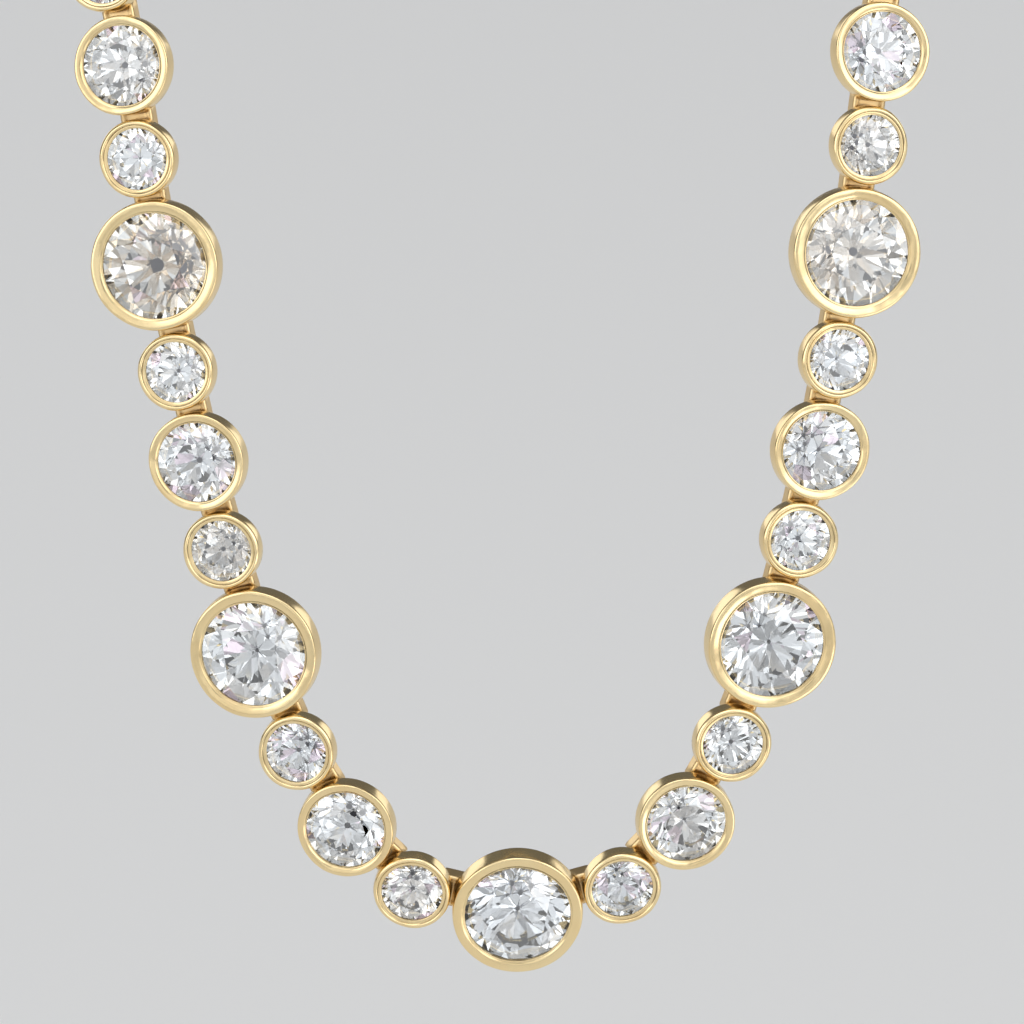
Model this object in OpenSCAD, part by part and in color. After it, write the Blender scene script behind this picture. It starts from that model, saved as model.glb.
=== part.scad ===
// Riviere necklace: round stones in gold collets, hinged by small links into one closed loop.
// The loop hangs as on a neck: it faces -Y, and the middle of the clasp's inner face is the origin.
// Every collet, stone, link and the clasp is a loose solid that stays clear of its neighbours.

/* [Stones] */
// Girdle diameter of the large stones
large_stone_d = 7.74; // [7:0.02:9]
// Girdle diameter of the medium stones
medium_stone_d = 5.9; // [5.4:0.02:7]
// Girdle diameter of the small stones
small_stone_d = 4.6; // [4.2:0.02:5.4]
// Width of the table as a share of the girdle diameter
table_share = 0.56; // [0.5:0.01:0.64]
// Reach of the star facets from table to girdle, as a share
star_share = 0.5; // [0.4:0.01:0.6]
// Reach of the lower halves from girdle to culet, as a share
lower_share = 0.76; // [0.65:0.01:0.85]
// Slope of the crown in degrees
crown_angle = 34; // [30:0.5:37]
// Slope of the pavilion in degrees
pavilion_angle = 41; // [39:0.5:42.5]
// Height of the girdle's edge
girdle_t = 0.16; // [0.1:0.01:0.25]

/* [Collets] */
// Gold outside the girdle of a large stone, seen from the front
large_rim_w = 0.75; // [0.65:0.01:1]
// Gold outside the girdle of a medium stone
medium_rim_w = 0.54; // [0.48:0.01:0.7]
// Gold outside the girdle of a small stone
small_rim_w = 0.46; // [0.42:0.01:0.6]
// Height of a large collet from rim to back
large_collet_h = 4.6; // [4.3:0.1:5.4]
// Height of a medium collet
medium_collet_h = 3.8; // [3.6:0.1:4.4]
// Height of a small collet
small_collet_h = 3.45; // [3.4:0.05:3.7]
// Height of the straight band on a large collet
large_band_h = 1.6; // [1.2:0.05:1.8]
// Height of the straight band on a medium collet
medium_band_h = 1.4; // [1.1:0.05:1.6]
// Height of the straight band on a small collet
small_band_h = 1.35; // [1:0.05:1.5]
// Fall of the rim from its crest to the outer edge
rim_drop = 0.4; // [0.25:0.01:0.5]
// How far the lip reaches in over the girdle
lip_hold = 0.15; // [0.08:0.01:0.2]
// Thickness of the lip at its inner edge
lip_t = 0.2; // [0.15:0.01:0.3]
// Width of the ledge that the stone sits on
ledge_w = 0.3; // [0.2:0.01:0.4]
// Thickness of the tapered wall, measured level
wall_w = 0.55; // [0.45:0.01:0.65]

/* [Links] */
// Width of a link across the chain
link_w = 2.3; // [2:0.05:2.6]
// Depth of a link's face below the rims
link_depth = 1.95; // [1.8:0.05:2.2]
// Thickness of a link's face
face_t = 0.25; // [0.2:0.01:0.35]
// Thickness of a link's two cheeks
cheek_t = 0.3; // [0.22:0.01:0.4]
// Height of the cheeks' ribs over the face
rib_h = 0.12; // [0.05:0.01:0.2]
// Diameter of the pins through the eyes
pin_d = 0.34; // [0.28:0.01:0.4]
// Gold around a pin's end in its cheek
cheek_wall = 0.07; // [0.05:0.01:0.09]
// Gold around the hole of an eye
eye_wall = 0.22; // [0.18:0.01:0.26]
// How far the eyes stand inside the rim's edge
eye_inset = 0.69; // [0.68:0.01:0.8]
// Space between neighbouring rims where the chain hangs taut
taut_gap = 0.18; // [0.14:0.01:0.4]
// Space between the rims beside the lowest stone, where the chain hangs slack
slack_gap = 0.04; // [0.03:0.01:0.15]
// Number of links over which the slack dies out
slack_reach = 2; // [1:0.1:4]

/* [Clasp] */
// Length of the clasp's body along the chain
clasp_l = 8.5; // [7:0.1:11]
// Width of the clasp's body across the chain
clasp_w = 5.4; // [4:0.1:6.5]
// Depth of the clasp's body
clasp_h = 3.2; // [2.8:0.1:4]
// Bevel round the clasp's front and back
clasp_bevel = 0.35; // [0.2:0.01:0.6]

/* [Loop] */
// Runs of large, small, medium and small collets in the loop, less the one that the clasp replaces
runs = 15; // [13:1:16]

/* [Clearances] */
// Space between a stone and its collet
stone_clear = 0.14; // [0.13:0.01:0.17]
// Space between a link and what it moves against
link_clear = 0.15; // [0.13:0.01:0.18]
// Further space at the top of a link, where a collet leans over it
lean_clear = 0.08; // [0.05:0.01:0.12]

/* [Hidden] */
gold = [0.86, 0.72, 0.45];
diamond = [0.90, 0.93, 0.97];
round_fn = 48;
small_fn = 24;
overcut = 0.5;
least_step = 0.1;

// Half of the chain's line at the height of its pins, from the lowest stone round the right side to the
// nape, in millimetres from the lowest stone: x, y, z, then the way a collet faces there in degrees,
// turned from the front and lifted from level
route = [
    [0, 0, 0, 0, -6],
    [6.9, 0.2, 1.4, 5, -3],
    [11.4, 0.7, 5.8, 9, 0],
    [14.7, 1.5, 11.1, 11, 3],
    [17.5, 2.7, 17.9, 13, 6],
    [19.7, 4.2, 25.2, 13, 9],
    [22, 6.4, 34.5, 14, 11],
    [24.2, 9.5, 46, 14, 13],
    [25.9, 12.9, 58, 15, 14],
    [28, 17.5, 68, 19, 17],
    [31.5, 25, 77.5, 28, 21],
    [37, 35, 86, 43, 25],
    [43.5, 48.5, 93, 64, 27],
    [46.5, 65, 97.5, 87, 27],
    [43, 82, 100.5, 112, 22],
    [32.5, 95.5, 102, 137, 13],
    [17, 104, 102.5, 160, 4],
    [0, 107, 102.5, 180, 0],
];
steps = 10;

// Rims as rows of two shares: the way out from the lip to the outer edge, and the fall below the crest
domed_rim = [
    [-0.12, 0.55], [0.12, 0.46], [0.2, 0.38], [0.32, 0.16], [0.45, 0.02], [0.6, 0.01],
    [0.76, 0.14], [0.9, 0.4], [1, 0.85],
];
grooved_rim = [
    [-0.15, 0.44], [0.3, 0.3], [0.38, 0.38], [0.46, 0.12], [0.58, 0], [0.7, 0.04],
    [0.86, 0.25], [1, 0.65],
];

// Kinds of piece in the loop
LARGE = 0;
MEDIUM = 1;
SMALL = 2;
CLASP = 3;
stone_ds = [large_stone_d, medium_stone_d, small_stone_d];
rim_ws = [large_rim_w, medium_rim_w, small_rim_w];
collet_hs = [large_collet_h, medium_collet_h, small_collet_h];
band_hs = [large_band_h, medium_band_h, small_band_h];
rims = [domed_rim, domed_rim, grooved_rim];

hole_r = pin_d / 2 + link_clear;
eye_r = hole_r + eye_wall;
wall_gap = 0.04;
// Level distance from a pin to the wall beside it
pin_stand = hole_r + wall_gap;
pin_depth = link_depth + face_t + link_clear + eye_r;
lug_w = link_w - 2 * (cheek_t + link_clear);
arm_h = 1.5 * eye_r;
clasp_back = large_collet_h - pin_depth;

function stone_r(kind) = stone_ds[kind] / 2;
function lip_r(kind) = stone_r(kind) - lip_hold;
function rim_r(kind) = stone_r(kind) + rim_ws[kind];
function eye_reach(kind) = kind == CLASP ? clasp_l / 2 + pin_stand : rim_r(kind) - eye_inset;
function taper(kind) =
    (eye_inset + pin_stand) / (pin_depth - band_hs[kind]);
function wall_r(kind, depth) =
    kind == CLASP ? clasp_l / 2 : rim_r(kind) - max(0, depth - band_hs[kind]) * taper(kind);

// Depths below the crest of the rim
lip_fall = rim_drop * domed_rim[0][1];
girdle_depth = lip_fall + lip_t + lip_hold * tan(crown_angle) + stone_clear / cos(crown_angle);
pavilion_depth = girdle_depth + girdle_t;
function lip_under(kind, r) =
    girdle_depth - (stone_r(kind) - r) * tan(crown_angle) - stone_clear / cos(crown_angle);
function ledge(kind, r) =
    pavilion_depth + (stone_r(kind) - r) * tan(pavilion_angle) + stone_clear / cos(pavilion_angle);

// The loop's places are numbered from the lowest stone round the right side, and the clasp is halfway
places = 4 * runs;
half = places / 2;
function next(i) = (i + 1) % places;
function before(i) = (i + places - 1) % places;
function kind_at(i) = i == half ? CLASP : [LARGE, SMALL, MEDIUM, SMALL][i % 4];
function places_of(kind) =
    [for (k = [1 - half : half - 1]) let (i = (k + places) % places) if (kind_at(i) == kind) i];
large_places = places_of(LARGE);

// Distance along the chain from place k - 1 to place k, for k from 1 to half
function gap_before(k) = taut_gap - (taut_gap - slack_gap) * exp((1 - k) / slack_reach);
function pitch(k) = eye_reach(kind_at(k - 1)) + eye_reach(kind_at(k)) + 2 * eye_inset + gap_before(k);
chain_s = [for (k = 0, s = 0; k <= half; k = k + 1, s = s + (k <= half ? pitch(k) : 0)) s];

// A smooth line through the route's rows, which are mirrored past both ends
last_row = len(route) - 1;
function mirrored(r, turn) = [-r[0], r[1], r[2], turn - r[3], r[4]];
function row(i) =
    i < 0 ? mirrored(route[-i], 0) : i > last_row ? mirrored(route[2 * last_row - i], 360) : route[i];
function blend(a, b, c, d, t) =
    b + t * (c - a) / 2 + t * t * (2 * a - 5 * b + 4 * c - d) / 2 + t * t * t * (3 * b - a - 3 * c + d) / 2;
line = [
    for (i = [0 : last_row - 1]) for (j = [0 : steps - 1])
        blend(row(i - 1), row(i), row(i + 1), row(i + 2), j / steps),
    route[last_row],
];
function spot(r) = [r[0], r[1], r[2]];
line_s = [
    for (i = 0, s = 0; i < len(line);
         i = i + 1, s = s + (i < len(line) ? norm(spot(line[i]) - spot(line[i - 1])) : 0)) s
];
columns = [for (c = [0 : 4]) [for (i = [0 : len(line) - 1]) [line_s[i], line[i][c]]]];
function line_at(s) = [for (c = [0 : 4]) lookup(s, columns[c])];

// The line is scaled as a whole to the chain's length, and the clasp's inner face comes to the origin
line_scale = chain_s[half] / line_s[len(line) - 1];
function right_row(k) = line_at(chain_s[k] / line_scale);
function right_centre(k) =
    line_scale * (spot(right_row(k)) - spot(route[last_row])) + [0, clasp_back, 0];
function right_face(k) =
    let (
        r = right_row(k),
        s = chain_s[k] / line_scale,
        run = k == 0 || k == half ? [1, 0, 0] : spot(line_at(s + 1)) - spot(line_at(s - 1)),
        t = run / norm(run),
        d = [sin(r[3]) * cos(r[4]), -cos(r[3]) * cos(r[4]), sin(r[4])],
        n = d - (d * t) * t
    ) n / norm(n);
function flip(v) = [-v[0], v[1], v[2]];
centres = [
    for (i = [0 : places - 1]) i <= half ? right_centre(i) : flip(right_centre(places - i))
];
faces = [for (i = [0 : places - 1]) i <= half ? right_face(i) : flip(right_face(places - i))];

// Frames of the pieces: x points to the next piece and z out of the face
function frame(x, z, p) =
    let (y = cross(z, x)) [
        [x[0], y[0], z[0], p[0]],
        [x[1], y[1], z[1], p[1]],
        [x[2], y[2], z[2], p[2]],
        [0, 0, 0, 1],
    ];
function square_to(v, z) = let (f = v - (v * z) * z) f / norm(f);
function way(i, j) = square_to(centres[j] - centres[i], faces[i]);
function eye(i, j) = centres[i] + eye_reach(kind_at(i)) * way(i, j);
function bend(i) =
    let (x = way(i, next(i)), y = cross(faces[i], x), b = way(i, before(i))) atan2(b * y, b * x);
module at_place(i) {
    multmatrix(frame(way(i, next(i)), faces[i], centres[i])) children();
}

// A stone of the brilliant kind: table, 8 stars, 8 mains, 16 upper halves, girdle, 16 lower halves, 8 mains
function ring(r, z, n, shift) =
    [for (i = [0 : n - 1]) let (a = (i + shift) * 360 / n) [r * cos(a), r * sin(a), z]];
module brilliant(kind) {
    r = stone_r(kind);
    table_r = r * table_share;
    star_r = table_r + (r - table_r) * star_share;
    lower_r = r * (1 - lower_share);
    side = cos(22.5);
    top_z = pin_depth - girdle_depth;
    low_z = top_z - girdle_t;
    table = ring(table_r, top_z + (r - table_r) * tan(crown_angle), 8, 0);
    stars = ring(star_r, top_z + (r - star_r * side) * tan(crown_angle), 8, 0.5);
    upper = ring(r, top_z, 16, 0);
    lower = ring(r, low_z, 16, 0);
    tips = ring(lower_r, low_z - (r - lower_r * side) * tan(pavilion_angle), 8, 0.5);
    points = concat(table, stars, upper, lower, tips, [[0, 0, low_z - r * tan(pavilion_angle)]]);
    star0 = len(table);
    upper0 = star0 + len(stars);
    lower0 = upper0 + len(upper);
    tip0 = lower0 + len(lower);
    culet = tip0 + len(tips);
    faces_of = concat(
        [[for (i = [7 : -1 : 0]) i]],
        [for (i = [0 : 7]) let (n = (i + 1) % 8) each [
            [i, n, star0 + i],
            [n, star0 + n, upper0 + 2 * n, star0 + i],
            [star0 + i, upper0 + 2 * i + 1, upper0 + 2 * i],
            [star0 + i, upper0 + 2 * n, upper0 + 2 * i + 1],
            [tip0 + i, lower0 + 2 * i, lower0 + 2 * i + 1],
            [tip0 + i, lower0 + 2 * i + 1, lower0 + 2 * n],
            [tip0 + i, lower0 + 2 * n, tip0 + n, culet],
        ]],
        [for (i = [0 : 15]) let (n = (i + 1) % 16) [upper0 + i, upper0 + n, lower0 + n, lower0 + i]]
    );
    polyhedron(points, faces_of);
}

// The outside of a collet: tapered cup, straight band and shaped rim
module collet_blank(kind) {
    a = lip_r(kind);
    h = collet_hs[kind];
    rim = rims[kind];
    rows = len(rim);
    rotate_extrude($fn = round_fn)
        polygon(concat(
            [
                [0, pin_depth - h],
                [wall_r(kind, h), pin_depth - h],
                [rim_r(kind), pin_depth - band_hs[kind]],
            ],
            [for (i = [rows - 1 : -1 : 0])
                [a + rim[i][0] * (rim_r(kind) - a), pin_depth - rim[i][1] * rim_drop]],
            [[0, pin_depth - rim[0][1] * rim_drop]]
        ));
}

// The inside of a collet: the mouth, the stone's groove and ledge, and the open back
module collet_hollow(kind) {
    a = lip_r(kind);
    pocket = stone_r(kind) + stone_clear;
    inner = stone_r(kind) - ledge_w;
    h = collet_hs[kind];
    back = wall_r(kind, h) - wall_w;
    knee = band_hs[kind] + max(least_step, (rim_r(kind) - wall_w - inner) / taper(kind));
    rotate_extrude($fn = round_fn)
        polygon([
            [0, pin_depth + overcut],
            [a, pin_depth + overcut],
            [a, pin_depth - lip_under(kind, a)],
            [pocket, pin_depth - lip_under(kind, pocket)],
            [pocket, pin_depth - ledge(kind, pocket)],
            [inner, pin_depth - ledge(kind, inner)],
            [inner, pin_depth - knee],
            [back, pin_depth - h],
            [back, pin_depth - h - overcut],
            [0, pin_depth - h - overcut],
        ]);
}

// An eye on its arm, soldered to the wall, for the pin of a link
module lug(reach, root) {
    translate([root, -lug_w / 2, -arm_h / 2])
        cube([reach - root, lug_w, arm_h]);
    translate([reach, 0, 0])
        rotate([90, 0, 0])
            cylinder(r = eye_r, h = lug_w, center = true, $fn = small_fn);
}
module lug_hole(reach) {
    translate([reach, 0, 0])
        rotate([90, 0, 0])
            cylinder(r = hole_r, h = lug_w + 2 * link_clear, center = true, $fn = small_fn);
}

module collet(i) {
    kind = kind_at(i);
    root = wall_r(kind, collet_hs[kind]) - wall_w;
    at_place(i)
        difference() {
            union() {
                collet_blank(kind);
                for (a = [0, bend(i)]) rotate([0, 0, a]) lug(eye_reach(kind), root);
            }
            collet_hollow(kind);
            for (a = [0, bend(i)]) rotate([0, 0, a]) lug_hole(eye_reach(kind));
        }
}

// Each stone is turned about its own axis by a little more than the one before
module stone(i) {
    at_place(i) rotate([0, 0, 17 * i]) brilliant(kind_at(i));
}

// A link's cheek: an arc round each pin below, and the slanting ends that follow the collets above
function cheek_end(kind, b) =
    sqrt(pow(wall_r(kind, link_depth - rib_h) + link_clear + lean_clear, 2) - b * b) - eye_reach(kind);
function arc(x, r, from, to, n) =
    [for (j = [0 : n]) let (a = from + (to - from) * j / n) [x + r * cos(a), r * sin(a)]];
module link(i) {
    j = next(i);
    one = kind_at(i);
    two = kind_at(j);
    from = eye(i, j);
    to = eye(j, i);
    reach = norm(to - from) / 2;
    x = (to - from) / (2 * reach);
    z = square_to(faces[i] + faces[j], x);
    inside = lug_w / 2 + link_clear;
    cheek_r = pin_d / 2 + cheek_wall;
    face_z = eye_r + link_clear;
    face_w = link_w - cheek_t / 2;
    multmatrix(frame(x, z, (from + to) / 2)) {
        for (side = [-1, 1])
            translate([0, side * (inside + cheek_t / 2) + cheek_t / 2, 0])
                rotate([90, 0, 0])
                    linear_extrude(height = cheek_t)
                        polygon(concat(
                            arc(-reach, cheek_r, 180, 270, 4),
                            arc(reach, cheek_r, -90, 0, 4),
                            [
                                [reach - max(-cheek_r, cheek_end(two, inside)), face_z + face_t + rib_h],
                                [cheek_end(one, inside) - reach, face_z + face_t + rib_h],
                            ]
                        ));
        translate([0, 0, face_z])
            linear_extrude(height = face_t)
                difference() {
                    square([4 * reach, face_w], center = true);
                    translate([-reach - eye_reach(one), 0])
                        circle(r = wall_r(one, link_depth) + link_clear + lean_clear, $fn = round_fn);
                    translate([reach + eye_reach(two), 0])
                        circle(r = wall_r(two, link_depth) + link_clear + lean_clear, $fn = round_fn);
                }
        for (side = [-1, 1])
            translate([side * reach, 0, 0])
                rotate([90, 0, 0])
                    cylinder(d = pin_d, h = link_w - cheek_t, center = true, $fn = small_fn);
    }
}

// The clasp: a round body with flat sides and bevelled edges, and an eye at each end
module clasp_body() {
    low = -clasp_back;
    high = low + clasp_h;
    r = clasp_l / 2;
    intersection() {
        rotate_extrude($fn = round_fn)
            polygon([
                [0, low],
                [r - clasp_bevel, low],
                [r, low + clasp_bevel],
                [r, high - clasp_bevel],
                [r - clasp_bevel, high],
                [0, high],
            ]);
        translate([-clasp_l, -clasp_w / 2, low - overcut])
            cube([2 * clasp_l, clasp_w, clasp_h + 2 * overcut]);
    }
}

module large_collet(n) {
    color(gold) collet(large_places[n - 1]);
}
module large_stone(n) {
    color(diamond) stone(large_places[n - 1]);
}
module medium_collets() {
    color(gold) for (i = places_of(MEDIUM)) collet(i);
}
module medium_stones() {
    color(diamond) for (i = places_of(MEDIUM)) stone(i);
}
module small_collets() {
    color(gold) for (i = places_of(SMALL)) collet(i);
}
module small_stones() {
    color(diamond) for (i = places_of(SMALL)) stone(i);
}
module links() {
    color(gold) for (i = [0 : places - 1]) link(i);
}
module clasp() {
    color(gold)
        at_place(half)
            difference() {
                union() {
                    clasp_body();
                    for (a = [0, bend(half)]) rotate([0, 0, a]) lug(eye_reach(CLASP), clasp_l / 4);
                }
                for (a = [0, bend(half)]) rotate([0, 0, a]) lug_hole(eye_reach(CLASP));
            }
}

large_count = len(large_places);

for (n = [1 : large_count]) {
    large_collet(n);
    large_stone(n);
}
medium_collets();
medium_stones();
small_collets();
small_stones();
links();
clasp();
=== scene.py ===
"""Riviere necklace: polished gold collets with old-cut stones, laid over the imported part."""

import math

import bpy
import numpy as np
from mathutils import Matrix


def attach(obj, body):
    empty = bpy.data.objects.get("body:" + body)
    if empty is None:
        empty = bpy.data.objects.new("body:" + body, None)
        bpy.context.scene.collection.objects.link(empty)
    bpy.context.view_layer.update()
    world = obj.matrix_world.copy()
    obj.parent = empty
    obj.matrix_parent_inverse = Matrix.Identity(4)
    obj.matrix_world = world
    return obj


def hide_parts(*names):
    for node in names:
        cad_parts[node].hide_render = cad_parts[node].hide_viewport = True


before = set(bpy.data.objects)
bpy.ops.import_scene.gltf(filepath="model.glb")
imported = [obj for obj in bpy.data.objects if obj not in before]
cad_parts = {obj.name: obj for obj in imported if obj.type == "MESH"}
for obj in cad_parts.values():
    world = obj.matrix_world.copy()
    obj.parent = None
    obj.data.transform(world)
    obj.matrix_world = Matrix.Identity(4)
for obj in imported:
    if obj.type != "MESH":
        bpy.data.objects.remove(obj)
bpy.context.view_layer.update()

MM = 0.001
TURN = 2 * math.pi
TINY = 1e-6

# ---------------------------------------- sizes in millimetres, named as in the part's source
LARGE, MEDIUM, SMALL, CLASP = 0, 1, 2, 3
STONE_R = np.array([3.87, 2.95, 2.3])
GIRDLE_T = 0.16
CROWN = math.radians(34)
PAVILION = math.radians(41)
RIM_W = np.array([0.75, 0.54, 0.46])
COLLET_H = np.array([4.6, 3.8, 3.45])
BAND_H = np.array([1.6, 1.4, 1.35])
RIM_DROP = 0.4
LIP_HOLD = 0.15
LIP_T = 0.2
LEDGE_W = 0.3
WALL_W = 0.55
LINK_W = 2.3
LINK_DEPTH = 1.95
FACE_T = 0.25
CHEEK_T = 0.3
RIB_H = 0.12
PIN_R = 0.17
CHEEK_WALL = 0.07
EYE_WALL = 0.22
EYE_INSET = 0.69
TAUT_GAP, SLACK_GAP, SLACK_REACH = 0.18, 0.04, 2.0
CLASP_L, CLASP_W, CLASP_H, CLASP_BEVEL = 8.5, 5.4, 3.2, 0.35
RUNS = 15
STONE_CLEAR = 0.14
LINK_CLEAR = 0.15
LEAN_CLEAR = 0.08
WALL_GAP = 0.04
LEAST_STEP = 0.1

RIM_R = STONE_R + RIM_W
LIP_R = STONE_R - LIP_HOLD
LIP_FALL = 0.55 * RIM_DROP
HOLE_R = PIN_R + LINK_CLEAR
EYE_R = HOLE_R + EYE_WALL
PIN_STAND = HOLE_R + WALL_GAP
PIN_DEPTH = LINK_DEPTH + FACE_T + LINK_CLEAR + EYE_R
LUG_W = LINK_W - 2 * (CHEEK_T + LINK_CLEAR)
CLASP_BACK = COLLET_H[LARGE] - PIN_DEPTH
REACH = np.append(RIM_R - EYE_INSET, CLASP_L / 2 + PIN_STAND)
TAPER = (EYE_INSET + PIN_STAND) / (PIN_DEPTH - BAND_H)
GIRDLE_DEPTH = LIP_FALL + LIP_T + LIP_HOLD * math.tan(CROWN) + STONE_CLEAR / math.cos(CROWN)

# Half of the chain's line, from the lowest stone round the right side to the nape, as rows of x, y, z
# and the degrees that a collet is turned and lifted there
ROUTE = np.array([
    [0, 0, 0, 0, -6], [6.9, 0.2, 1.4, 5, -3], [11.4, 0.7, 5.8, 9, 0], [14.7, 1.5, 11.1, 11, 3],
    [17.5, 2.7, 17.9, 13, 6], [19.7, 4.2, 25.2, 13, 9], [22, 6.4, 34.5, 14, 11],
    [24.2, 9.5, 46, 14, 13], [25.9, 12.9, 58, 15, 14], [28, 17.5, 68, 19, 17],
    [31.5, 25, 77.5, 28, 21], [37, 35, 86, 43, 25], [43.5, 48.5, 93, 64, 27],
    [46.5, 65, 97.5, 87, 27], [43, 82, 100.5, 112, 22], [32.5, 95.5, 102, 137, 13],
    [17, 104, 102.5, 160, 4], [0, 107, 102.5, 180, 0]], float)
ROUTE_STEPS = 10
PLACES = 4 * RUNS
HALF = PLACES // 2
KIND = np.tile([LARGE, SMALL, MEDIUM, SMALL], RUNS)
KIND[HALF] = CLASP

# ---------------------------------------- what the hand and the wheel leave, in millimetres
# Rims as rows of two shares: the way out from lip to outer edge, and the fall below the crest
DOMED = [[0, 0.46], [0.025, 0.38], [0.06, 0.345], [0.1, 0.335], [0.15, 0.27], [0.22, 0.18],
         [0.33, 0.1], [0.5, 0.035], [0.66, 0], [0.8, 0.015], [0.89, 0.09], [0.945, 0.22],
         [0.98, 0.45], [1, 0.9]]
GROOVED = [[0, 0.43], [0.04, 0.38], [0.14, 0.34], [0.28, 0.31], [0.35, 0.32], [0.41, 0.22],
           [0.49, 0.07], [0.6, 0], [0.72, 0.035], [0.85, 0.18], [0.95, 0.4], [1, 0.8]]
# Steps round a large, a medium and a small collet, and along a span of their rims
ROUND, RIM_STEPS = [112, 96, 56], [3, 3, 2]
# Depths where the rim ends outside and at the lip, and where the top face ends, which bounds the
# hand's wobble of the lip and the painted shade line
RIM_FOOT, LIP_FOOT, TOP_FACE = 0.55, 0.24, 0.3
EASED_EDGE = 0.07
# How free the crest is to wobble, and the depth over which that falls by one
CREST_FREEDOM, FREEDOM_DEPTH = 1.2, 1.6
# How far the outer edge, its fine ripple, the lip and the height wobble
EDGE_WOBBLE, EDGE_RIPPLE, LIP_WOBBLE, HEIGHT_WOBBLE = 0.050, 0.008, 0.032, 0.030
# The painted shade line round a rim, a dark brown put in the gold where shade falls in the hollow by
# the lip or in a small rim's groove: its share of the way out, its spread and its strength
LIP_SHADE_LINE, GROOVE_SHADE_LINE = (0.14, 0.04, 0.35), (0.38, 0.06, 0.6)

# The half-height of an eye's arm, its eased edges, and the steps round an eye
ARM, EYE_EASING, EYE_STEPS = 0.75 * EYE_R, 0.04, 28

# A link's section, point by point: shares of half its length and of half its thickness, then which way
# the easing moves the point in each
LINK_SECTION = np.array([
    [-1, -1, 0, 1], [-1, -1, 1, 0], [-0.33, -1, 0, 0], [0.33, -1, 0, 0], [1, -1, -1, 0],
    [1, -1, 0, 1], [1, 1, 0, -1], [1, 1, -1, 0], [0.33, 1, 0, 0], [-0.33, 1, 0, 0], [-1, 1, 1, 0],
    [-1, 1, 0, -1]])
LINK_EASING = 0.05
# The shortest that a link gets beside its collets, and the square of a cheek's shortest arc
LEAST_LINK, LEAST_ARC_2 = 0.16, 0.004
# A pin as rows of two shares, of half its length and of its radius, and how far its ends stand back
PIN_ROWS = np.array([[-1.0, 0.8], [-0.96, 1.0], [0.96, 1.0], [1.0, 0.8]])
PIN_SET_BACK = 0.03

# The usual cut and its spread: table, star reach, lower reach, culet, crown and pavilion in degrees
USUAL_CUT = np.array([0.51, 0.46, 0.75, 0.060, 34.8, 41.9])
CUT_SPREAD = np.array([0.07, 0.12, 0.14, 0.050, 2.4, 0.9])
CUT_PACES = np.array([12.9898, 39.346, 11.135, 83.155, 52.235, 27.17])
# How steeply a stone leans, with its pace each way, and the degrees it is turned past the one before
STONE_LEAN, LEAN_X_PACE, LEAN_Y_PACE, STONE_TURN = 0.010, 5.1, 3.7, 17
# How warm the middle of some stones is, by place, where 1 is the warmest, and how much of its radius
# the culet of the warmest opens further. The warm is partly a yellowing of the whole stone and partly
# a painted reflection of the collet's gold on the lower mains
WARMTH_AND_GLEAM = {8: 0.5, 9: 0.25, 50: 0.2, 52: 0.9, 55: 0.3}
CULET_SHARE, WARM_CULET = 3, 0.060
# Where a stone's rings of points start
TABLE, STARS, GIRDLE_TOP, GIRDLE_LOW, HALVES, CULET = 0, 8, 16, 32, 48, 56
# Facets go table, culet, eight eighths of eight facets each, girdle; an eighth ends with these two
CULET_FACET, FIRST_EIGHTH, EIGHTHS_END, MAIN, BESIDE_CULET = 1, 2, 66, 6, 7
# Facet tints: bluish, warm and rose are painted flashes of fire; tan is a painted reflection of the
# collet's gold; navy is a painted dark reflection; dark is the culet's painted shade
BLUISH, WARM, ROSE = np.array([[0.92, 0.965, 1.0], [1.0, 0.98, 0.95], [0.70, 0.51, 0.64]])
TAN, NAVY, DARK = (0.66, 0.54, 0.40), (0.10, 0.12, 0.17), (0.02, 0.02, 0.03)
# What red, green and blue lose to a yellowing of 1, the warmest stone's share of it, and the others'
YELLOWING, WARM_YELLOW, LEAST_YELLOW = np.array([0.05, 0.10, 0.20]), 0.6, 0.25
# A facet's hue, rareness and depth are scatters of its number, each with its own paces. The facet is
# bluish where the hue is below the first bound, and warm elsewhere; rose where the rareness is above
# the second; and navy, if it lies beside the culet, where the depth is above the third. The bluish,
# warm and rose tints are painted flashes of fire, and navy is a painted dark reflection
FACET_PACES = (7, 12.9898), (3, 78.233), (5, 39.425)
BLUISH_TO, ROSE_FROM, NAVY_FROM = 0.7, 0.92, 0.55
# Painted shade: a facet's depth darkens its tint from the brightest by up to the deepening
BRIGHTEST, DEEPENING = 0.94, 0.38
# The share of light that the warmest stone's lower mains take away, and that a navy facet does, so
# that their painted reflections of gold and of dark show
MAINS_SHUT, NAVY_SHUT = 0.75, 0.7


def unit(v):
    """Each vector divided by its length."""
    return v / np.linalg.norm(v, axis=-1, keepdims=True)


def square_to(v, z):
    """What is left of v, at unit length, once its part along z is taken away."""
    return unit(v - (v * z).sum(-1, keepdims=True) * z)


def cubics(rows, n):
    """A smooth curve through all rows but the first and the last, n steps to a span.

    A span is the cubic through its two rows whose slope at each is half the step between that row's
    neighbours.
    """
    a, b, c, d = rows[:-3, None], rows[1:-2, None], rows[2:-1, None], rows[3:, None]
    t = (np.arange(n) / n)[None, :, None]
    q = (b + t * (c - a) / 2 + t**2 * (2 * a - 5 * b + 4 * c - d) / 2
         + t**3 * (3 * b - a - 3 * c + d) / 2)
    return np.vstack([q.reshape(-1, rows.shape[1]), rows[-2:-1]])


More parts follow.
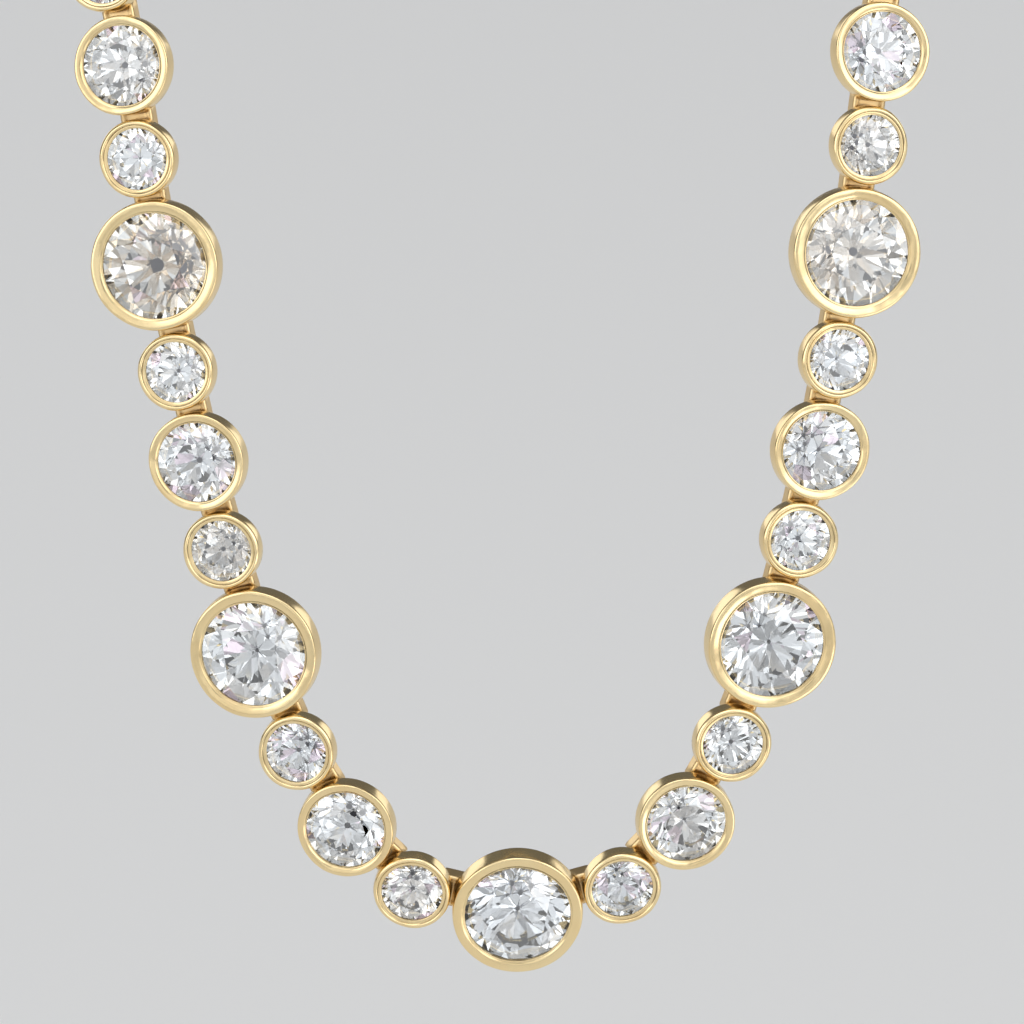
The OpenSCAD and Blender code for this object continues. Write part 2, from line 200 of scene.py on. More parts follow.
def loop_layout():
    """Centres of all places and the ways they face, from the route.

    The route's rows, mirrored past both ends, are joined by cubics. The line is scaled so that its
    length is the sum of the places' pitches, and each place stands at its own share of it. Its way at
    a place is the step from a millimetre before to a millimetre behind.
    """
    mirror = lambda r, turn: r * [-1, 1, 1, -1, 1] + [0, 0, 0, turn, 0]
    rows = np.vstack([mirror(ROUTE[1], 0), ROUTE, mirror(ROUTE[-2], 360)])
    line = cubics(rows, ROUTE_STEPS)
    line_s = np.append(0, np.cumsum(np.linalg.norm(np.diff(line[:, :3], axis=0), axis=1)))
    k = np.arange(1, HALF + 1)
    gap = TAUT_GAP - (TAUT_GAP - SLACK_GAP) * np.exp((1 - k) / SLACK_REACH)
    chain = np.append(0, np.cumsum(REACH[KIND[k - 1]] + REACH[KIND[k]] + 2 * EYE_INSET + gap))
    scale = chain[-1] / line_s[-1]
    at = lambda s: np.stack([np.interp(s, line_s, line[:, c]) for c in range(5)], 1)
    spot = at(chain / scale)
    centres = scale * (spot[:, :3] - ROUTE[-1, :3]) + [0, CLASP_BACK, 0]
    run = at(chain / scale + 1)[:, :3] - at(chain / scale - 1)[:, :3]
    run[[0, -1]] = [1, 0, 0]
    turn, lift = np.radians(spot[:, 3]), np.radians(spot[:, 4])
    out = np.stack([np.sin(turn) * np.cos(lift), -np.cos(turn) * np.cos(lift), np.sin(lift)], 1)
    faces = square_to(out, unit(run))
    both_sides = lambda half: np.vstack([half, (half[1:-1] * [-1, 1, 1])[::-1]])
    return both_sides(centres), both_sides(faces)


CENTRE, FACE = loop_layout()
AHEAD = square_to(np.roll(CENTRE, -1, 0) - CENTRE, FACE)
BEHIND = square_to(np.roll(CENTRE, 1, 0) - CENTRE, FACE)
SIDE = np.cross(FACE, AHEAD)
BEND = np.arctan2((BEHIND * SIDE).sum(1), (BEHIND * AHEAD).sum(1))


def places_of(kind):
    """Places of one kind in the order of the part's nodes, from the left side of the nape round."""
    i = np.arange(1 - HALF, HALF) % PLACES
    return i[KIND[i] == kind]


def at_place(points, i, turn=0.0):
    """Points of a piece's own frame, turned about the face, laid at place i."""
    c, s = math.cos(turn), math.sin(turn)
    x = c * AHEAD[i] + s * SIDE[i]
    y = c * SIDE[i] - s * AHEAD[i]
    return points @ np.stack([x, y, FACE[i]]) + CENTRE[i]


# ---------------------------------------- lines and meshes
def circle(n):
    """n angles, evenly round."""
    return np.linspace(0, TURN, n, endpoint=False)


def scatter(x, stretch=4375.85):
    """Fixed numbers between -1 and 1 with no pattern: the part of sin(x) x stretch after the point."""
    return np.modf(np.sin(x) * stretch)[0]


def wave(seed, angle, orders=(2, 3, 5)):
    """A gentle wobble round a circle, from about -1 to 1: cosines of low orders with fixed shifts."""
    count = len(orders)
    shifts = scatter(seed * 12.9898 + np.arange(count) * 78.233, 43758.5453) * TURN
    gains = 1 / np.arange(1, count + 1)
    return sum(g * np.cos(n * angle + p) for n, g, p in zip(orders, gains, shifts)) / gains.sum()


def smooth_line(rows, n):
    """A smooth curve through rows of points, n steps to a span, with straight ends."""
    p = np.asarray(rows, float)
    return cubics(np.vstack([2 * p[0] - p[1], p, 2 * p[-1] - p[-2]]), n)


def eased(rows, reach):
    """A closed outline with three points on a short curve for each corner, from reach before it.

    The curve is the quadratic (1-t)^2 a + 2t(1-t) corner + t^2 b, with a and b on the two sides, and
    takes at most 0.45 of a side.
    """
    p = np.asarray(rows, float)
    before, after = np.roll(p, 1, 0) - p, np.roll(p, -1, 0) - p
    lb, la = np.linalg.norm(before, axis=1), np.linalg.norm(after, axis=1)
    r = np.minimum(reach, 0.45 * np.minimum(lb, la))
    a = p + before * (r / lb)[:, None]
    b = p + after * (r / la)[:, None]
    t = np.array([0, 0.5, 1])[None, :, None]
    q = (1 - t) ** 2 * a[:, None] + 2 * t * (1 - t) * p[:, None] + t**2 * b[:, None]
    return q.reshape(-1, p.shape[1])


def grid_faces(rows, cols, ring):
    """Quads of a grid of points whose columns close round; its rows close too when ring is true."""
    r = np.arange(rows if ring else rows - 1)[:, None] * cols
    up = (r + cols) % (rows * cols)
    c = np.arange(cols)[None, :]
    right = (c + 1) % cols
    return np.stack([r + c, r + right, up + right, up + c], -1).reshape(-1, 4)


def ladder(first, n, back):
    """Quads across a closed loop of n points, rung by rung, to close a tube's end."""
    k = np.arange(n // 2 - 1)
    q = np.stack([first + k, first + k + 1, first + n - 2 - k, first + n - 1 - k], -1)
    return q[:, ::-1] if back else q


def shell(grid, ring=False, crease_shade=0.0):
    """A closed shell of quads on a grid; a tube that isn't a ring gets a ladder at each end.

    The faces are turned over if the volume they close comes out negative. The shade values say how
    much painted shade each point gets, standing in for the shade in a rim's hollow.
    """
    rows, cols = grid.shape[:2]
    faces = grid_faces(rows, cols, ring)
    if not ring:
        faces = np.vstack([faces, ladder(0, cols, True), ladder((rows - 1) * cols, cols, False)])
    points = grid.reshape(-1, 3)
    mid = points.mean(0)
    a, b, c, d = (points[faces[:, j]] - mid for j in range(4))
    volume = (a * np.cross(b, c)).sum() + (a * np.cross(c, d)).sum()
    painted_shade = np.broadcast_to(crease_shade, (rows, cols)).ravel()
    return points, faces if volume > 0 else faces[:, ::-1], painted_shade


def make_gold(name, shells, material, node):
    """One object from many shells, smooth-shaded."""
    starts = np.append(0, np.cumsum([len(s[0]) for s in shells]))
    points = np.vstack([s[0] for s in shells]) * MM
    faces = np.vstack([s[1] + start for s, start in zip(shells, starts)])
    mesh = bpy.data.meshes.new(name)
    mesh.vertices.add(len(points))
    mesh.vertices.foreach_set("co", points.astype(np.float32).ravel())
    mesh.loops.add(faces.size)
    mesh.loops.foreach_set("vertex_index", faces.astype(np.int32).ravel())
    mesh.polygons.add(len(faces))
    mesh.polygons.foreach_set("loop_start", np.arange(0, faces.size, 4, dtype=np.int32))
    mesh.update(calc_edges=True)
    # Painted shade: each point's share of the painted dark line goes on as an attribute that darkens
    # the gold
    layer = mesh.attributes.new("crease_shade", "FLOAT", "POINT")
    layer.data.foreach_set("value", np.concatenate([s[2] for s in shells]).astype(np.float32))
    mesh.shade_smooth()
    place_piece(name, mesh, material, node)


def place_piece(name, mesh, material, node):
    """Links a mesh's object, gives it its material, puts it on the root body, and hides the imported
    part it replaces.
    """
    mesh.validate()
    mesh.materials.append(material)
    obj = bpy.data.objects.new(name, mesh)
    bpy.context.collection.objects.link(obj)
    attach(obj, "root")
    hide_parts(node)


# ---------------------------------------- the collets
def under_lip(kind, r):
    """Depth of the groove's upper side: the crown's slope, held off by the stone's clearance."""
    return GIRDLE_DEPTH - (STONE_R[kind] - r) * math.tan(CROWN) - STONE_CLEAR / math.cos(CROWN)


def ledge(kind, r):
    """Depth of the stone's ledge: the pavilion's slope, held off by the stone's clearance."""
    return (GIRDLE_DEPTH + GIRDLE_T + (STONE_R[kind] - r) * math.tan(PAVILION)
            + STONE_CLEAR / math.cos(PAVILION))


def wall_r(kind, depth):
    """Radius of a collet's wall: straight down to the band's end, then tapering in."""
    if kind == CLASP:
        return CLASP_L / 2
    return RIM_R[kind] - max(0.0, depth - BAND_H[kind]) * TAPER[kind]


def collet_profile(kind):
    """Closed outline of a collet's wall as radius, depth and freedom.

    It runs over the rim, down the band and the taper, round the back edge and up inside past the
    ledge and the groove. Freedom is how much of the hand's wobble a point takes: all on the rim, none
    at the back.
    """
    lip, edge, h = LIP_R[kind], RIM_R[kind], COLLET_H[kind]
    rim = smooth_line(GROOVED if kind == SMALL else DOMED, RIM_STEPS[kind])
    rim = np.stack([lip + rim[:, 0] * (edge - lip), rim[:, 1] * RIM_DROP], 1)
    pocket, inner = STONE_R[kind] + STONE_CLEAR, STONE_R[kind] - LEDGE_W
    back = wall_r(kind, h) - WALL_W
    knee = BAND_H[kind] + max(LEAST_STEP, (edge - WALL_W - inner) / TAPER[kind])
    corners = [[edge, RIM_FOOT], [edge, BAND_H[kind]], [wall_r(kind, h), h], [back, h],
               [inner, knee], [inner, ledge(kind, inner)], [pocket, ledge(kind, pocket)],
               [pocket, under_lip(kind, pocket)], [lip, under_lip(kind, lip)], [lip, LIP_FOOT]]
    line = np.vstack([rim, eased(corners, EASED_EDGE)[3:-2]])
    free = np.clip(CREST_FREEDOM - line[:, 1] / FREEDOM_DEPTH, 0, 1)
    return line[:, 0], line[:, 1], free


PROFILE = [collet_profile(kind) for kind in (LARGE, MEDIUM, SMALL)]


def collet_body(i):
    """A collet turned about its axis, with the small unevenness of hand work.

    Radius = profile + freedom x wobble, which also makes the rim's width change a little round the
    stone; depth = profile + freedom x a slower wobble.
    """
    kind = KIND[i]
    r, depth, free = (v[:, None] for v in PROFILE[kind])
    angle = circle(ROUND[kind])[None, :]
    share = np.clip((r - LIP_R[kind]) / (RIM_R[kind] - LIP_R[kind]), 0, 1)
    edge = (EDGE_WOBBLE * wave(i + 1, angle) + EDGE_RIPPLE * wave(i + 301, angle, (7, 11, 13))
            - EDGE_WOBBLE / 2)
    lip = LIP_WOBBLE * wave(i + 101, angle, (2, 3, 7))
    height = HEIGHT_WOBBLE * wave(i + 201, angle, (1, 2, 4))
    top_face = depth < TOP_FACE
    radius = r + free * (share * edge + (1 - share) * lip * top_face)
    z = PIN_DEPTH - depth - free * (HEIGHT_WOBBLE + height)
    grid = np.stack([radius * np.cos(angle), radius * np.sin(angle), z + 0 * angle], -1)
    # Painted shade: a dark line round the top face, where shade falls in the hollow by the lip or in a
    # small rim's groove, its strength wobbling round
    at, spread, gain = GROOVE_SHADE_LINE if kind == SMALL else LIP_SHADE_LINE
    uneven = 1 + wave(i + 401, angle, (2, 5, 9))
    crease_shade = gain * np.exp(-((share - at) / spread) ** 2) * top_face * uneven
    return shell(at_place(grid, i), True, np.clip(crease_shade, 0, 1))


def eye(i, root, turn):
    """A soldered eye: an outline round its hole, swept across the chain and closed into a ring.

    Seen along the pin, the outline's distance from the hole's centre is the eye's radius, or on the
    collet's side as far as the arm goes in that direction.
    """
    angle = circle(EYE_STEPS)
    c, s = np.cos(angle), np.sin(angle)
    reach, w, soft = REACH[KIND[i]], LUG_W / 2, EYE_EASING
    flat = np.minimum((reach - root) / np.maximum(-c, TINY), ARM / np.maximum(np.abs(s), TINY))
    far = np.where((c < 0) & (flat > EYE_R), flat, EYE_R)[None, :]
    steps = np.array([[0, -w + soft], [soft, -w], [1 - soft, -w], [1, -w + soft], [1, w - soft],
                      [1 - soft, w], [soft, w], [0, w - soft]])
    dist = HOLE_R + steps[:, :1] * (far - HOLE_R)
    grid = np.stack([reach + dist * c, steps[:, 1:] + 0 * dist, dist * s], -1)
    return shell(at_place(grid, i, turn), ring=True)


def eyes(i, root):
    """The two eyes of place i, each turned to its own neighbour."""
    return [eye(i, root, 0.0), eye(i, root, BEND[i])]


def collet(i):
    """A collet's wall and its two eyes."""
    kind = KIND[i]
    return [collet_body(i), *eyes(i, wall_r(kind, COLLET_H[kind]) - 0.5 * WALL_W)]


# ---------------------------------------- the links and the clasp
def link(i):
    """A hinge link: a band bent down over both sides, with a rib along each bend, and two pins.

    The band's middle runs up one cheek, over the rib, across the face and down the other cheek. At
    each step it has a rounded section, as long as the walls of the two collets leave it there, and its
    end in a cheek follows the arc round the pin.
    """
    j = (i + 1) % PLACES
    one, two = KIND[i], KIND[j]
    start = CENTRE[i] + REACH[one] * AHEAD[i]
    end = CENTRE[j] + REACH[two] * BEHIND[j]
    half = np.linalg.norm(end - start) / 2
    x = (end - start) / (2 * half)
    z = square_to(FACE[i] + FACE[j], x)
    axes = np.stack([x, np.cross(z, x), z])
    lay = lambda grid: shell(grid @ axes + (start + end) / 2)
    side = LUG_W / 2 + LINK_CLEAR + CHEEK_T / 2
    low = EYE_R + LINK_CLEAR
    middle = low + FACE_T / 2
    top = low + FACE_T + RIB_H
    cheek_r = PIN_R + CHEEK_WALL
    # Half of the band, from a cheek's end over the rib: the way out, the height and the thickness
    rows = [[side, -cheek_r, CHEEK_T], [side, -cheek_r * 0.8, CHEEK_T], [side, -0.1, CHEEK_T],
            [side, 0.2, CHEEK_T], [side, low, CHEEK_T], [side, top - 0.13, CHEEK_T],
            [side - 0.02, top - 0.1, 0.22], [side - 0.17, middle + 0.02, 0.26],
            [side - 0.4, middle, FACE_T], [0.3, middle, FACE_T]]
    y, height, thick = np.array(rows + [[-y, h, t] for y, h, t in rows[::-1]]).T[:, :, None]
    along = np.gradient(np.hstack([y, height]), axis=0)
    normal = unit(np.stack([along[:, 1], -along[:, 0]], 1))
    space = lambda kind: np.sqrt((wall_r(kind, LINK_DEPTH) + LEAN_CLEAR) ** 2 - y**2) - REACH[kind]
    arc = np.sqrt(np.maximum(cheek_r**2 - np.minimum(height, 0) ** 2, LEAST_ARC_2))
    slope = np.where(height < low, np.clip(height / top, 0, 1), 1)
    reach = lambda kind: -arc * (1 - slope) + space(kind) * slope
    left, right = -half + reach(one), half - reach(two)
    length = np.maximum(right - left, LEAST_LINK)
    share_x, share_t, ease_x, ease_t = LINK_SECTION.T[:, None, :]
    grid_x = (left + right) / 2 + share_x * length / 2 + ease_x * LINK_EASING
    off = share_t * thick / 2 + ease_t * LINK_EASING
    shells = [lay(np.stack([grid_x, y + off * normal[:, :1], height + off * normal[:, 1:]], -1))]
    angle = circle(12)[None, :]
    run, thin = PIN_ROWS.T[:, :, None]
    for centre in (-half, half):
        across = run * (side + CHEEK_T / 2 - PIN_SET_BACK) + 0 * angle
        shells.append(lay(np.stack([centre + thin * PIN_R * np.cos(angle), across,
                                    thin * PIN_R * np.sin(angle)], -1)))
    return shells


def clasp():
    """The clasp's body: a circle cut by two flats, stacked with eased edges, and its two eyes.

    The outline's distance from the middle is (circle^-24 + flat^-24)^(-1/24), which is close to the
    nearer of the two.
    """
    angle = circle(96)
    r, b, inset, power = CLASP_L / 2, CLASP_BEVEL, 0.55, 24.0
    flat = CLASP_W / 2 / np.maximum(np.abs(np.sin(angle)), TINY)
    out = (r**-power + flat**-power) ** (-1 / power)
    low, high = -CLASP_BACK, CLASP_H - CLASP_BACK
    rows = np.array([[inset, low], [b + 0.15, low], [b, low], [0.6 * b, low + 0.12 * b],
                     [0.25 * b, low + 0.4 * b], [0, low + b], [0, 0], [0, high - b],
                     [0.25 * b, high - 0.4 * b], [0.6 * b, high - 0.12 * b], [b, high],
                     [b + 0.15, high], [inset, high]])
    dist = (1 - rows[:, :1] / r) * out[None, :]
    grid = np.stack([dist * np.cos(angle), dist * np.sin(angle), rows[:, 1:] + 0 * dist], -1)
    return [shell(at_place(grid, HALF)), *eyes(HALF, CLASP_L / 4)]


# ---------------------------------------- the stones
def ring_points(r, z, n, shift):
    """n points on a circle, turned by a share of a step."""
    a = (np.arange(n) + shift) * TURN / n
    return np.stack([r * np.cos(a), r * np.sin(a), np.full(n, z)], 1)


def cut_of(i):
    """The cut of the stone at place i: the usual one, plus its spread times a scatter."""
    cut = USUAL_CUT + CUT_SPREAD * (np.abs(scatter((i + 1) * CUT_PACES)) - 0.5)
    cut[CULET_SHARE] += WARM_CULET * WARMTH_AND_GLEAM.get(i, 0)
    return cut


def stone(i):
    """An old-cut brilliant as points and facets, at place i.

    It has a table, 8 stars, 8 mains, 16 upper halves, a girdle, 16 lower halves, 8 lower mains, each
    in two facets, and a culet. The girdle's height stays; the other rings lie where the facets'
    planes, at the cut's slopes, pass.
    """
    r = STONE_R[KIND[i]]
    table, star, lower, open_culet, crown, pavilion = cut_of(i)
    up, down = math.tan(math.radians(crown)), math.tan(math.radians(pavilion))
    table_r, lower_r, culet_r = r * table, r * (1 - lower), r * open_culet
    star_r = table_r + (r - table_r) * star
    side = math.cos(math.pi / 8)
    top = PIN_DEPTH - GIRDLE_DEPTH
    low = top - GIRDLE_T
    points = np.vstack([
        ring_points(table_r, top + (r - table_r) * up, 8, 0),
        ring_points(star_r, top + (r - star_r * side) * up, 8, 0.5),
        ring_points(r, top, 16, 0),
        ring_points(r, low, 16, 0),
        ring_points(lower_r, low - (r - lower_r * side) * down, 8, 0.5),
        ring_points(culet_r, low - (r - culet_r) * down, 8, 0)])
    faces = [list(range(TABLE, TABLE + 8)), list(range(CULET + 7, CULET - 1, -1))]
    for k in range(8):
        n = (k + 1) % 8
        star_k, half_k = STARS + k, HALVES + k
        top_k, top_n = GIRDLE_TOP + 2 * k, GIRDLE_TOP + 2 * n
        low_k, low_n = GIRDLE_LOW + 2 * k, GIRDLE_LOW + 2 * n
        faces += [[TABLE + k, star_k, TABLE + n], [TABLE + n, star_k, top_n, STARS + n],
                  [star_k, top_k, top_k + 1], [star_k, top_k + 1, top_n],
                  [half_k, low_k + 1, low_k], [half_k, low_n, low_k + 1],
                  [half_k, CULET + n, HALVES + n, low_n], [half_k, CULET + k, CULET + n]]
    faces += [[GIRDLE_TOP + (k + 1) % 16, GIRDLE_TOP + k, GIRDLE_LOW + k, GIRDLE_LOW + (k + 1) % 16]
              for k in range(16)]
    points[:, 2] += points[:, :2] @ [STONE_LEAN * math.sin(LEAN_X_PACE * i),
                                     STONE_LEAN * math.cos(LEAN_Y_PACE * i)]
    return at_place(points, i, math.radians(STONE_TURN * i)), faces


def facet_looks(i, count):
    """The tint of each facet of the stone at place i, and the share of light that it takes away.

    A tint is bluish, warm or, on a few facets, rose, painted flashes of fire, times a darkening that
    differs from facet to facet, a painted shade, and the whole stone is a little yellowed. The lower
    mains of a warm stone are tan, a painted reflection of the collet's gold, and take some light, as
    some navy facets beside the culet, a painted dark reflection, do in the other stones. The culet is
    painted dark and takes it all.
    """
    n = np.arange(count)
    hue, rare, deep = (np.abs(scatter((n + step * i) * pace)) for step, pace in FACET_PACES)
    warmth_and_gleam = WARMTH_AND_GLEAM.get(i, 0)
    # Painted flashes of fire, each darkened by a painted shade that differs from facet to facet
    tint = np.where(hue[:, None] < BLUISH_TO, BLUISH, WARM)
    tint = np.where(((rare > ROSE_FROM) & (n > CULET_FACET))[:, None], ROSE, tint)
    tint = tint * (BRIGHTEST - DEEPENING * deep[:, None] ** 2)
    tint = tint * (1 - (WARM_YELLOW * warmth_and_gleam or LEAST_YELLOW * hue[0]) * YELLOWING)
    part = np.where((n >= FIRST_EIGHTH) & (n < EIGHTHS_END), (n - FIRST_EIGHTH) % 8, 0)
    mains = part >= MAIN
    shut = np.where(mains, MAINS_SHUT * warmth_and_gleam, 0)
    # Painted reflection: tan lower mains stand in for the collet's gold seen through a warm stone
    tint[mains & (warmth_and_gleam > 0)] = TAN
    # Painted dark reflection: some navy facets beside the culet stand in for the dark mirrored in them
    navy = (part == BESIDE_CULET) & (deep > NAVY_FROM) & (warmth_and_gleam == 0)
    tint[navy], shut[navy] = NAVY, NAVY_SHUT
    # Painted shade: the culet is dark and takes all the light, standing in for the dark seen through
    # it
    tint[CULET_FACET], shut[CULET_FACET] = DARK, 1
    return tint, shut


def make_stones(name, places, node):
    """One object from the stones at the given places, with flat facets and the looks of each."""
    points, faces, tints, shuts = [], [], [], []
    for i in places:
        p, f = stone(i)
        start = sum(map(len, points))
        faces += [[v + start for v in face] for face in f]
        tint, shut = facet_looks(i, len(f))
        points.append(p)
        tints.append(tint)
        shuts.append(shut)
    mesh = bpy.data.meshes.new(name)
    mesh.from_pydata((np.vstack(points) * MM).tolist(), [], faces)
    sizes = np.array([len(f) for f in faces])
    colours = np.hstack([np.repeat(np.vstack(tints), sizes, 0), np.ones((sizes.sum(), 1))])
    layer = mesh.attributes.new("facet_tint", "FLOAT_COLOR", "CORNER")
    layer.data.foreach_set("color", colours.astype(np.float32).ravel())
    layer = mesh.attributes.new("facet_shut", "FLOAT", "FACE")
    layer.data.foreach_set("value", np.concatenate(shuts).astype(np.float32))
    place_piece(name, mesh, diamond, node)


# ---------------------------------------- shader maths
class Value:
    """A socket that Python's operators can be used on; each one adds a Math node."""

    def __init__(self, tree, socket=None):
        self.tree, self.socket = tree, socket

    def node(self, kind, settings, inputs, out=0):
        """Adds a node, its settings first, then its inputs' values or links; returns one output."""
        n = self.tree.nodes.new(kind)
        for key, value in settings.items():
            setattr(n, key, value)
        for key, value in inputs.items():
            if isinstance(value, Value):
                self.tree.links.new(value.socket, n.inputs[key])
            else:
                n.inputs[key].default_value = value
        return Value(self.tree, n.outputs[out])

    def math(self, operation, *values):
        """Adds a Math node on values or numbers."""
        return self.node("ShaderNodeMath", {"operation": operation}, dict(enumerate(values)))

    def blend(self, one, two):
        """The colour one where this value is 0, two where it is 1; 6, 7 and 2 are Mix's colours."""
        colours = {"Factor": self, 6: one, 7: two}
        return self.node("ShaderNodeMix", {"data_type": "RGBA"}, colours, 2)

    def __add__(self, other):
        return self.math("ADD", self, other)

    def __mul__(self, other):
        return self.math("MULTIPLY", self, other)

    def __sub__(self, other):
        return self.math("SUBTRACT", self, other)

    def __rsub__(self, other):
        return self.math("SUBTRACT", other, self)

    __radd__ = __add__
    __rmul__ = __mul__


def new_material(name):
    """A material with its own tree, and its Principled shader."""
    mat = bpy.data.materials.new(name)
    mat.use_nodes = True
    return mat, Value(mat.node_tree), mat.node_tree.nodes["Principled BSDF"]


def feed(shader, name, value):
    """Links a value to one of the shader's inputs."""
    value.tree.links.new(value.socket, shader.inputs[name])


def polished_gold(name, pale, warm, roughness, waves):
    """Hand-finished gold: a slow change of tone, a soft unevenness, fine burnishing marks and a
    painted dark line of shade.
    """
    mat, t, shader = new_material(name)
    spot = t.node("ShaderNodeTexCoord", {}, {}, "Object")

    def noise(vector, scale, detail, roughness=0.5):
        return t.node("ShaderNodeTexNoise", {}, {"Vector": vector, "Scale": scale, "Detail": detail,
                                                 "Roughness": roughness}, "Fac")

    brushed = t.node("ShaderNodeMapping", {}, {"Vector": spot, "Rotation": (0.4, 0.5, 0.2),
                                               "Scale": (900.0, 5200.0, 5200.0)})
    marks = noise(brushed, scale=1.0, detail=3.0, roughness=0.6)
    tone = noise(spot, scale=260.0, detail=2.0)
    crease_shade = t.node("ShaderNodeAttribute", {"attribute_name": "crease_shade"}, {}, "Fac")
    colour = ((tone - 0.35) * 3.0).blend((*pale, 1), (*warm, 1))
    # Painted shade: dark brown mixed into the colour as far as the points' attribute asks, where shade
    # falls on the rims
    feed(shader, "Base Color", (crease_shade * 0.75).blend(colour, (0.30, 0.17, 0.05, 1)))
    haze = noise(spot, scale=900.0, detail=2.0)
    feed(shader, "Roughness", roughness + (haze - 0.5) * 0.08 + (marks - 0.5) * 0.06)
    uneven = noise(spot, scale=520.0, detail=1.0)
    grain = noise(spot, scale=2300.0, detail=1.0)
    height = uneven * waves + marks * 0.0015 + grain * 0.004
    bump = t.node("ShaderNodeBump", {}, {"Height": height, "Strength": 1.0, "Distance": 0.001})
    feed(shader, "Normal", bump)
    shader.inputs["Metallic"].default_value = 1.0
    shader.inputs["Specular Tint"].default_value = (1.0, 0.95, 0.86, 1)
    return mat


def clear_stone():
    """Diamond: full transmission at its own index, each facet with its tint and what it takes away,
    and a faint painted glow.
    """
    mat, t, shader = new_material("diamond")
    facet = lambda name, out: t.node("ShaderNodeAttribute", {"attribute_name": name}, {}, out)
    feed(shader, "Base Color", facet("facet_tint", "Color"))
    feed(shader, "Metallic", facet("facet_shut", "Fac"))
    shader.inputs["Roughness"].default_value = 0.0
    shader.inputs["IOR"].default_value = 2.42
    shader.inputs["Transmission Weight"].default_value = 1.0
    # Painted glow: a faint bluish-white emission that brightens the stones, which are no lamp
    shader.inputs["Emission Color"].default_value = (0.90, 0.95, 1.0, 1)
    shader.inputs["Emission Strength"].default_value = 0.010
    return mat


# ---------------------------------------- the necklace
collet_gold = polished_gold("collet_gold", (0.92, 0.74, 0.42), (0.89, 0.68, 0.36), 0.20, 0.110)
link_gold = polished_gold("link_gold", (0.80, 0.60, 0.32), (0.75, 0.53, 0.26), 0.32, 0.060)
diamond = clear_stone()

for n, i in enumerate(places_of(LARGE), 1):
    make_gold(f"large_bezel_{n}", collet(i), collet_gold, f"large_collet_{n}")
    make_stones(f"large_brilliant_{n}", [i], f"large_stone_{n}")
for size, kind in (("medium", MEDIUM), ("small", SMALL)):
    shells = [s for i in places_of(kind) for s in collet(i)]
    make_gold(f"{size}_bezels", shells, collet_gold, f"{size}_collets")
    make_stones(f"{size}_brilliants", places_of(kind), f"{size}_stones")
make_gold("hinge_links", [s for i in range(PLACES) for s in link(i)], link_gold, "links")
make_gold("plain_clasp", clasp(), link_gold, "clasp")


# ---------------------------------------- camera
def set_up(name, data, x, y, z, spot):
    """An object of the camera's or a lamp's data, at a spot, its own axes turned to x, y and z."""
    obj = bpy.data.objects.new(name, data)
    bpy.context.collection.objects.link(obj)
    pose = np.eye(4)
    pose[:3] = np.stack([x, y, z, spot], 1)
    obj.matrix_world = Matrix(pose.tolist())
    return obj


ELEVATION, ROLL = math.radians(20), math.radians(1.05)
# The width that the picture takes in at the lowest stone, and the camera's distance from it, in
# metres
FRAME_W, DISTANCE = 0.0722, 0.8
SENSOR, PIXELS = 36, 1024
# Where the middle of the lowest rim is in the picture, and its depth on the collet in millimetres
RIM_PIXEL, RIM_MIDDLE = np.array([517.6, 914.4]), 0.25
toward = np.array([0, -math.cos(ELEVATION), math.sin(ELEVATION)])
right, up = np.array([1.0, 0, 0]), np.array([0, math.sin(ELEVATION), math.cos(ELEVATION)])
cam_x = math.cos(ROLL) * right - math.sin(ROLL) * up
cam_y = math.sin(ROLL) * right + math.cos(ROLL) * up
lowest_rim = (CENTRE[0] + (PIN_DEPTH - RIM_MIDDLE) * FACE[0]) * MM
off = (RIM_PIXEL - PIXELS / 2) * FRAME_W / PIXELS
aim = lowest_rim - off[0] * cam_x + off[1] * cam_y
lens = bpy.data.cameras.new("camera")
lens.sensor_width = SENSOR
lens.lens = SENSOR * DISTANCE / FRAME_W
lens.clip_start, lens.clip_end = 0.05, 20
bpy.context.scene.camera = set_up("camera", lens, cam_x, cam_y, toward, aim + DISTANCE * toward)

# ---------------------------------------- floor and light
FLOOR_Z, FLOOR_REACH = -0.32, 4
mesh = bpy.data.meshes.new("floor")
mesh.from_pydata([(x * FLOOR_REACH, y * FLOOR_REACH, FLOOR_Z)
                  for x, y in ((-1, -1), (1, -1), (1, 1), (-1, 1))], [], [[0, 1, 2, 3]])
floor = bpy.data.objects.new("floor", mesh)
bpy.context.collection.objects.link(floor)
mat, _, shader = new_material("pale_floor")
shader.inputs["Base Color"].default_value = (0.88, 0.875, 0.865, 1)
shader.inputs["Roughness"].default_value = 0.9
mesh.materials.append(mat)

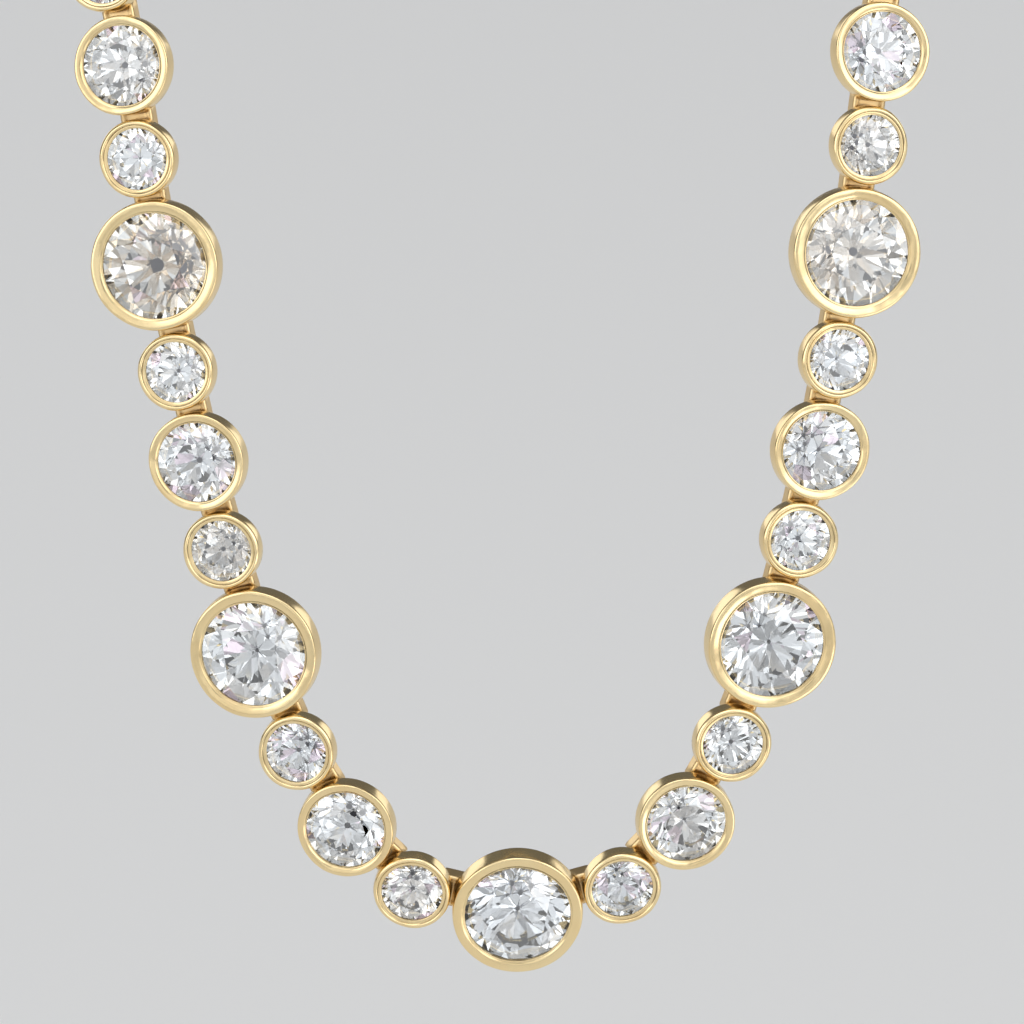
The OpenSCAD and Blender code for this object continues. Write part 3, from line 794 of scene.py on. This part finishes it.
# Square lamps that look at the middle of the necklace: name, spot, size and power
MIDDLE = np.array([0, -0.08, -0.06])
LAMPS = [("key", (0.85, -0.75, 0.55), 1.0, 3), ("fill", (-0.95, -0.75, 0.35), 0.8, 1.6),
         ("top", (-0.1, -0.35, 1.1), 0.8, 1.7), ("low", (0.32, -0.40, -0.26), 0.2, 0.2)]
for name, spot, size, power in LAMPS:
    lamp = bpy.data.lights.new(name, "AREA")
    lamp.shape, lamp.size, lamp.energy = "SQUARE", size, power
    z = unit(np.array(spot) - MIDDLE)
    x = unit(np.cross([0, 0, 1.0], z))
    set_up(name, lamp, x, np.cross(z, x), z, spot).visible_camera = False

world = bpy.data.worlds.new("tent")
world.use_nodes = True
bpy.context.scene.world = world
t = Value(world.node_tree)
way = t.node("ShaderNodeTexCoord", {}, {}, "Generated")


def fade(value, low, high, start=0.0, end=1.0):
    """A soft step: start where the value is low or less, end where it is high or more."""
    return t.node("ShaderNodeMapRange", {"interpolation_type": "SMOOTHSTEP"}, {
        "Value": value, "From Min": low, "From Max": high, "To Min": start, "To Max": end})


def glow(direction, inner, outer):
    """A soft patch of light: 1 within inner degrees of the direction, 0 past outer degrees."""
    middle = tuple(unit(np.array(direction)))
    dot = t.node("ShaderNodeVectorMath", {"operation": "DOT_PRODUCT"}, {0: way, 1: middle}, "Value")
    return fade(dot, math.cos(math.radians(outer)), math.cos(math.radians(inner)))


# The tent is dim, with a broad front that has darker patches. Then come the windows, one of them a
# dark one, where the camera looks in: strength, direction, and the degrees where each starts to fade
# and ends
DIM, FRONT = 0.10, 0.78
WINDOWS = [(0.12, (0.0, -0.8, 0.55), 10, 60), (0.35, (0.75, -0.6, 0.3), 24, 30),
           (0.35, (-0.8, -0.55, 0.35), 22, 28), (0.4, (0.05, -0.35, 1.0), 20, 27),
           (-0.9, (0.0, -0.94, 0.34), 5, 6.5), (1.2, (-0.55, 0.75, 0.15), 14, 19),
           (1.2, (0.62, 0.7, 0.1), 14, 19), (0.06, (0.0, 1.0, 0.15), 40, 80)]
clouds = t.node("ShaderNodeTexNoise", {}, {"Vector": way, "Scale": 6.0, "Detail": 2.0}, "Fac")
patches = fade(clouds, 0.60, 0.62, 1.0, 0.3)
level = DIM + FRONT * patches * glow((0.0, -1.0, 0.1), 72, 100)
for strength, direction, inner, outer in WINDOWS:
    level = level + strength * glow(direction, inner, outer)
background = world.node_tree.nodes["Background"]
feed(background, "Strength", level)
background.inputs["Color"].default_value = (0.965, 0.98, 1.0, 1)
bpy.context.scene.view_settings.view_transform = "Standard"
